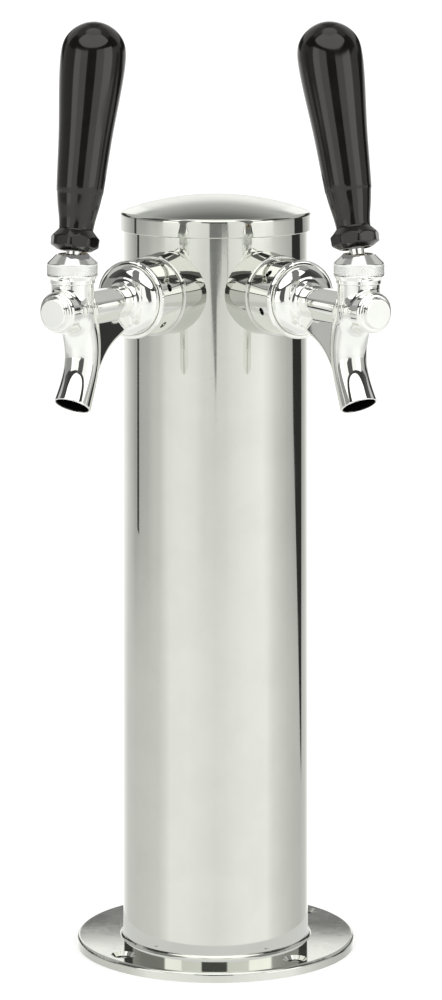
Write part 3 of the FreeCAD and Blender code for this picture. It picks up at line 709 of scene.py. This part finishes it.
def knurled_band():
    """Rows of a diamond-knurled cylinder, as (radius of every point, height), and the points in a row."""
    pitch = 2 * math.pi * KNURL_R / KNURL_PITCHES
    rows = round(POINTS_A_PITCH * (KNURL_HIGH - KNURL_LOW) / pitch)
    points = POINTS_A_PITCH * KNURL_PITCHES
    turn = np.arange(points) / POINTS_A_PITCH
    out = []
    for row in range(rows + 1):
        height = KNURL_LOW + (KNURL_HIGH - KNURL_LOW) * row / rows
        climb = (height - KNURL_LOW) / pitch
        ridge_a = np.abs((turn + climb) % 1 - 0.5) * 2
        ridge_b = np.abs((turn - climb) % 1 - 0.5) * 2
        fade = min(1.0, row / 3, (rows - row) / 3)
        out.append((KNURL_R - KNURL_DEPTH * fade * np.maximum(ridge_a, ridge_b), height))
    return out, points


def make_bonnet(side):
    """Bonnet nut: plain foot, flared shoulder, knurl band cut into the metal, coned top and its mouth."""
    band, points = knurled_band()
    below = fillet([(BONNET_BORE_R, NECK_TOP, 0), (BONNET_FOOT_R, NECK_TOP, 0.28),
                    (BONNET_FOOT_R, NECK_TOP + 1.6, 0.5), (9.9, NECK_TOP + 3.0, 0.25),
                    (KNURL_R, KNURL_LOW, 0)])
    above = fillet([(KNURL_R, KNURL_HIGH, 0), (9.75, KNURL_HIGH + 0.3, 0.2), (6.25, BONNET_TOP, 0.35),
                    (BONNET_MOUTH_R, BONNET_TOP, 0.3), (BONNET_MOUTH_R, BONNET_TOP - 1, 0),
                    (BONNET_BORE_R, BONNET_TOP - 3.6, 0), (BONNET_BORE_R, NECK_TOP, 0)])
    rows = [*with_support(below)[:-1], *band, *with_support(above)[1:-1]]
    verts, faces = ring_mesh(rows, points, closed=True)
    verts[:, 0] += HEAD_X
    piece = add_mesh(f"{side}_bonnet_nut", verts, faces, place=tap_place(side))
    stand_in(piece, f"{side}_bonnet", "chrome_bonnet", "tower")


# ---------------------------------------------------------------- handles
OPEN_LEAN = 17.0                             # of an open lever, forwards, in degrees
HANDLE_BASE = {"left": 6.6, "right": 7.7}    # underside above the ball's centre
HANDLE_LENGTH = 90.2
HANDLE_SEGMENTS = 96
FOOT_R = 9.75                                # to the corners of the eight-sided foot
POCKET_R = 5.7                               # seat of the threaded insert
POCKET_DEPTH = 18.5
# (depth below the apex, radius) down the long taper, and down the neck below the moulding step
GRIP = ((0, 0), (3, 8.2), (8, 11.9), (14.8, 12.9), (22, 12.65), (44, 10.7), (67.2, 9.2))
NECK = ((67.6, 9.0), (72.8, 8.2), (78.8, 7.05), (81.9, 6.72))


def foot_rows(base):
    """Rows of the handle's foot, a turned outline cut off by eight flats."""
    angles = np.arange(HANDLE_SEGMENTS) / HANDLE_SEGMENTS * 2 * math.pi
    half_side = math.pi / 8
    flats = FOOT_R * math.cos(half_side) / np.cos((angles + half_side) % (2 * half_side) - half_side)
    outline = fillet([(NECK[-1][1], 8.3, 0), (FOOT_R, 5.0, 0.5), (FOOT_R - 0.25, 1.9, 0.5), (6.4, 0.0, 0.3),
                      (POCKET_R, 0, 0)])
    reach = np.concatenate([[0], np.cumsum(np.linalg.norm(np.diff(outline, axis=0), axis=1))])
    rows = []
    for place in np.linspace(0, reach[-1], 40)[1:]:
        radius = np.interp(place, reach, outline[:, 0])
        rows.append((np.minimum(radius, flats), base + np.interp(place, reach, outline[:, 1])))
    return rows


def make_handle(side):
    """Moulded grip: round head, long taper, a fine moulding step at the neck and an eight-sided foot."""
    base = HANDLE_BASE[side]
    apex = base + HANDLE_LENGTH
    grip = spline(GRIP, (0, 1), (1, -0.08), 12)
    neck = spline(NECK, (1, -0.16), (1, -0.09), 5)
    rows = [(radius, apex - depth) for depth, radius in np.vstack([grip, neck])]
    rows += foot_rows(base)
    pocket_end = base + POCKET_DEPTH
    rows += [(POCKET_R, base + 0.1), (POCKET_R, pocket_end - 0.1), (POCKET_R, pocket_end), (0.0, pocket_end)]
    shut_lean = JOINTS[f"{side}_lever_pull"]["range_deg"][1] - OPEN_LEAN
    lean = Matrix.Rotation(math.radians(-shut_lean), 4, "Y")
    piece = add_mesh(f"{side}_handle_grip", *ring_mesh(rows, HANDLE_SEGMENTS),
                     place=tap_place(side) @ Matrix.Translation((HEAD_X, 0, BALL_Z)) @ lean)
    weld(piece)
    stand_in(piece, f"{side}_handle", "black_handle", f"{side}_lever")


# ---------------------------------------------------------------- cap
CAP_EDGE_Z = COLUMN_TOP + 1.7                # where the dome would meet the skirt if they weren't rounded
CAP_SHOULDER = 1.7
CAP_SHEET = 1.2
CAP_BORE_R = COLUMN_R + 0.1
CAP_SEGMENTS = 192


def dome(apex, edge_r, edge_z, points):
    """Circular arc in section, from the axis out to the edge, as fillet's corners."""
    radius = (edge_r ** 2 + (apex - edge_z) ** 2) / (2 * (apex - edge_z))
    return [(r, apex - radius + math.sqrt(radius ** 2 - r ** 2), 0) for r in np.linspace(0, edge_r, points)]


def make_cap():
    """Spun cap: low dome, tight shoulder, plain skirt, thin all through."""
    outside = dome(CAP_TOP, CAP_R, CAP_EDGE_Z, 26)[:-1]
    inside = dome(CAP_TOP - CAP_SHEET, COLUMN_R - CAP_SHEET, COLUMN_TOP + CAP_SHEET, 16)[::-1]
    skirt = [(CAP_R, CAP_EDGE_Z, CAP_SHOULDER), (CAP_R, CAP_BOTTOM, 0.3), (CAP_BORE_R, CAP_BOTTOM, 0.15),
             (CAP_BORE_R, COLUMN_TOP + 0.2, 0)]
    outline = with_support(fillet(outside + skirt + inside))
    piece = add_mesh("spun_cap", *ring_mesh(outline, CAP_SEGMENTS))
    weld(piece)
    stand_in(piece, "top_cap", "cap_stainless", "cap")


make_cap()
make_faucets()
for tap_side in SIDES:
    make_bonnet(tap_side)
    make_handle(tap_side)


# ---------------------------------------------------------------- studio
# Azimuth is measured from the camera's side, positive to the right, and elevation above the horizon, both in
# degrees. Three rings lie round the studio: the table's far sweep low down, the walls near the horizon, and
# the lamps above it. Each is listed as (azimuth, radiance) from the front round to the back.
LOW = {
    "right": ((0, 0.95), (12, 0.98), (25, 1.04), (40, 1.08), (66, 1.1), (76, 0.93), (92, 0.80), (112, 0.68),
              (130, 0.62), (150, 0.72), (165, 1.1), (180, 1.35)),
    "left": ((0, 0.95), (15, 1.0), (35, 1.06), (58, 1.05), (66, 0.92), (76, 0.80), (92, 0.76), (120, 0.72),
             (140, 0.74), (155, 0.92), (166, 1.1), (180, 1.35)),
}
WALL = {
    "right": ((0, 0.86), (12, 0.89), (25, 1.0), (40, 1.06), (60, 1.14), (72, 0.97), (80, 0.83), (92, 0.69),
              (104, 0.59), (131, 0.37), (146, 0.63), (164, 1.17), (180, 1.4)),
    "left": ((0, 0.86), (15, 0.89), (25, 1.0), (40, 1.04), (52, 1.01), (64, 0.94), (74, 0.73), (84, 0.69),
             (94, 0.57), (106, 0.54), (119, 0.46), (127, 0.6), (136, 0.73), (148, 0.93), (166, 1.1),
             (180, 1.4)),
}
LAMPS = {
    "right": ((0, 1.0), (41, 1.05), (43, 1.6), (72, 1.6), (75, 0.55), (100, 0.42), (125, 0.4), (150, 0.8),
              (165, 1.0), (180, 1.0)),
    "left": ((0, 1.1), (42, 1.05), (44, 1.5), (65, 1.5), (67.5, 0.30), (104, 0.30), (125, 0.4), (150, 0.8),
             (165, 1.0), (180, 1.0)),
}
STUDIO_TINT = (1.0, 1.005, 0.985)
FILL = 0.85                                  # even light on what isn't polished


class Studio(Graph):
    """Light as a function of direction: patches laid over one another, each with soft edges."""

    def __init__(self, tree):
        super().__init__(tree)
        direction = self.node("ShaderNodeTexCoord").outputs["Generated"]
        x, y, z = self.node("ShaderNodeSeparateXYZ", {"Vector": direction}).outputs
        self.azimuth = self.math("DEGREES", self.math("ARCTAN2", x, self.math("MULTIPLY", y, -1.0)))
        self.elevation = self.math("DEGREES", self.math("ARCSINE", z))
        self.off_axis = self.math("ABSOLUTE", self.azimuth)
        self.light = None

    def up(self, low, high, a=0.0, b=1.0, smooth=True):
        """Runs from a to b while the elevation runs from low to high."""
        return self.step(self.elevation, low, high, a, b, smooth)

    def out(self, low, high, a=0.0, b=1.0):
        """Runs from a to b while the azimuth, on either side, runs from low to high."""
        return self.step(self.off_axis, low, high, a, b)

    def beyond(self, value, edge, soft):
        """Where value is over edge."""
        return self.step(self.math("SUBTRACT", value, edge), -soft, soft)

    def short_of(self, value, edge, soft):
        return self.step(self.math("SUBTRACT", value, edge), soft, -soft)

    def lay(self, light, *edges):
        """Covers what is there with light where all the edges are 1."""
        mask = edges[0]
        for edge in edges[1:]:
            mask = self.math("MULTIPLY", mask, edge)
        self.light = self.mix(mask, self.light, light)

    def ring(self, stops):
        """Radiance all round at one height."""
        halves = []
        for side, sign in (("left", -1.0), ("right", 1.0)):
            share = self.math("MULTIPLY", self.azimuth, sign / 180)
            ramp = self.node("ShaderNodeValToRGB", {"Fac": share})
            elements = ramp.color_ramp.elements
            while len(elements) < len(stops[side]):
                elements.new(1.0)
            for element, (angle, value) in zip(elements, stops[side]):
                element.position = angle / 180
                element.color = grey(value)
            halves.append(ramp.outputs["Color"])
        return self.mix(self.math("GREATER_THAN", self.azimuth, 0.0), *halves)


def hang_drapes(room):
    """Black drapes: behind on both sides, and above the walls all round."""
    room.lay(grey(0.045), room.out(124.0, 129.0), room.out(168.0, 160.0), room.up(0.0, 4.0))
    drape = room.mix(room.out(75.0, 100.0), grey(0.05), grey(0.09))
    drape = room.mix(room.out(107.0, 112.0), drape, grey(0.55))
    hem = room.out(72.0, 80.0, 22.0, 18.0)
    room.lay(drape, room.beyond(room.elevation, hem, 0.8), room.out(166.0, 160.0))
    room.lay(grey(0.32), room.up(44.0, 52.0), room.out(74.0, 82.0))


def stand_back_wall(room):
    """Wall behind the tower, darker upwards."""
    wall = room.mix(room.up(19.0, 25.0), grey(1.15), grey(0.5))
    wall = room.mix(room.up(29.0, 41.0, smooth=False), wall, grey(0.19))
    room.lay(wall, room.out(160.0, 170.0), room.up(5.0, 9.0))


def hang_front_light(room):
    """Broad white light over the front, lower in the middle than at its ends, and the ceiling above it."""
    share = room.math("DIVIDE", room.off_axis, 70.0)
    low_edge = room.math("MULTIPLY_ADD", room.math("POWER", share, 3.0), 13.0, 27.0)
    room.lay(grey(1.5), room.beyond(room.elevation, low_edge, 0.7), room.out(73.5, 71.5))
    room.lay(grey(1.15), room.up(68.0, 74.0))


def lay_table(room):
    """Pale table close by, a little darker right under the tower."""
    room.lay(grey(1.02), room.up(-19.0, -34.0))
    room.lay(grey(0.86), room.up(-44.0, -64.0))


def stand_flag(room):
    """Black flag on the right, slanting away above and cut off below."""
    near = room.up(-5.1, -8.3, 109.5, 112.6, smooth=False)
    near = room.math("ADD", near, room.up(-8.4, -13.6, 0.0, 20.0, smooth=False))
    far = room.up(-4.6, -7.8, 128.0, 135.4, smooth=False)
    room.lay(grey(0.035), room.beyond(room.azimuth, near, 0.5), room.short_of(room.azimuth, far, 0.5),
             room.up(-13.9, -13.3), room.up(14.0, 8.0))


def darken_camera_side(room):
    """The dark camera side: a wedge that opens upwards in steps, and a narrow line beside it."""
    left = room.math("ADD", room.up(-8.2, -6.2, -0.5, 7.4, smooth=False), room.up(-5.6, 4.0, 0.0, 10.0))
    right = room.math("ADD", room.up(-6.75, -6.2, 1.2, 7.3, smooth=False), room.up(-5.85, -5.75, 0.0, 7.0))
    right = room.math("ADD", right, room.up(-8.2, -7.8, -1.5, 0.0, smooth=False))
    tone = room.mix(room.up(-6.5, -2.0), grey(0.26), grey(0.10))
    past_left = room.step(room.math("ADD", room.azimuth, left), -0.4, 0.4)
    room.lay(tone, past_left, room.short_of(room.azimuth, right, 0.4), room.up(26.0, 22.0))
    from_line = room.math("ABSOLUTE", room.math("SUBTRACT", room.azimuth, 14.8))
    room.lay(grey(0.42), room.step(from_line, 1.2, 0.6), room.up(-6.5, -6.2), room.up(-5.6, -5.8))


def make_world():
    """The room that the metal mirrors. Matt surfaces get an even light, and the camera sees plain white."""
    world = bpy.data.worlds.new("studio")
    bpy.context.scene.world = world
    world.use_nodes = True
    room = Studio(world.node_tree)
    room.light = room.mix(room.up(-9.0, -13.0), room.ring(WALL), room.ring(LOW))
    room.lay(room.ring(LAMPS), room.up(-5.9, -4.6))
    hang_drapes(room)
    stand_back_wall(room)
    hang_front_light(room)
    lay_table(room)
    stand_flag(room)
    darken_camera_side(room)
    path = room.node("ShaderNodeLightPath")
    matt = room.mix(path.outputs["Is Diffuse Ray"], room.scale(room.light, STUDIO_TINT), grey(FILL))
    seen = room.mix(path.outputs["Is Camera Ray"], matt, grey(1.0))
    backdrop = room.node("ShaderNodeBackground", {"Color": seen, "Strength": 1.0})
    room.node("ShaderNodeOutputWorld", {"Surface": backdrop.outputs[0]})


def make_floor(reach=16.0, front=4.0):
    """Pale seamless paper, lit evenly, that the metal doesn't mirror: the studio has its own table."""
    corners = [(-reach, -front, 0), (reach, -front, 0), (reach, 2 * reach, 0), (-reach, 2 * reach, 0)]
    floor = add_mesh("floor", corners, [(0, 1, 2, 3)], place=Matrix.Identity(4))
    graph, mm = surface("floor_paper")
    fibre = graph.noise(mm, 0.5, 4.0, 0.6)
    paper = graph.node("ShaderNodeBsdfDiffuse", {"Color": graph.mix(fibre, grey(0.80), grey(0.83))})
    lit = graph.join("ShaderNodeAddShader", paper.outputs[0], graph.glow(1.0, strength=0.42))
    graph.node("ShaderNodeOutputMaterial", {"Surface": lit})
    floor.data.materials.append(MATERIALS["floor_paper"])
    floor.visible_glossy = False


def make_card(name, start, end, low, high, radiance):
    """An upright card over a line on the floor, from low to high, that only shows in the metal."""
    corners = [(*start, low), (*end, low), (*end, high), (*start, high)]
    card = add_mesh(name, corners, [(0, 1, 2, 3)], place=Matrix.Identity(4))
    graph, _ = surface(name + "_card")
    graph.node("ShaderNodeOutputMaterial", {"Surface": graph.glow(radiance)})
    card.data.materials.append(MATERIALS[name + "_card"])
    card.visible_camera = card.visible_shadow = card.visible_diffuse = False


# ---------------------------------------------------------------- camera
CAMERA_DISTANCE = 1.5546
CAMERA_HEIGHT = 0.4483
LENS = 135.5
SENSOR = 36.0
FRAME_SHIFT = {"shift_x": 0.00535, "shift_y": -0.64375}


def make_camera():
    """Level camera in front of the tower, its frame shifted down to it while it stands at its own place."""
    data = bpy.data.cameras.new("camera")
    camera = bpy.data.objects.new("camera", data)
    bpy.context.scene.collection.objects.link(camera)
    camera.location = (0, -CAMERA_DISTANCE, CAMERA_HEIGHT)
    camera.rotation_euler = (math.radians(90), 0, 0)
    data.sensor_width = SENSOR
    data.lens = LENS
    for channel, shift in FRAME_SHIFT.items():
        driver = data.driver_add(channel).driver
        seat = driver.variables.new()
        seat.name = "y"
        seat.type = "TRANSFORMS"
        seat.targets[0].id = camera
        seat.targets[0].transform_type = "LOC_Y"
        driver.expression = f"{shift} * (abs(y + {CAMERA_DISTANCE}) < 0.001)"
    bpy.context.scene.camera = camera


make_world()
make_floor()
make_card("back_card", (-0.085, 0.5), (0.085, 0.5), 0.0, 0.15, 0.22)
make_card("side_card", (-0.212, 0.047), (-0.221, 0.069), 0.137, 0.34, 0.06)
make_camera()
bpy.context.scene.view_settings.view_transform = "Standard"
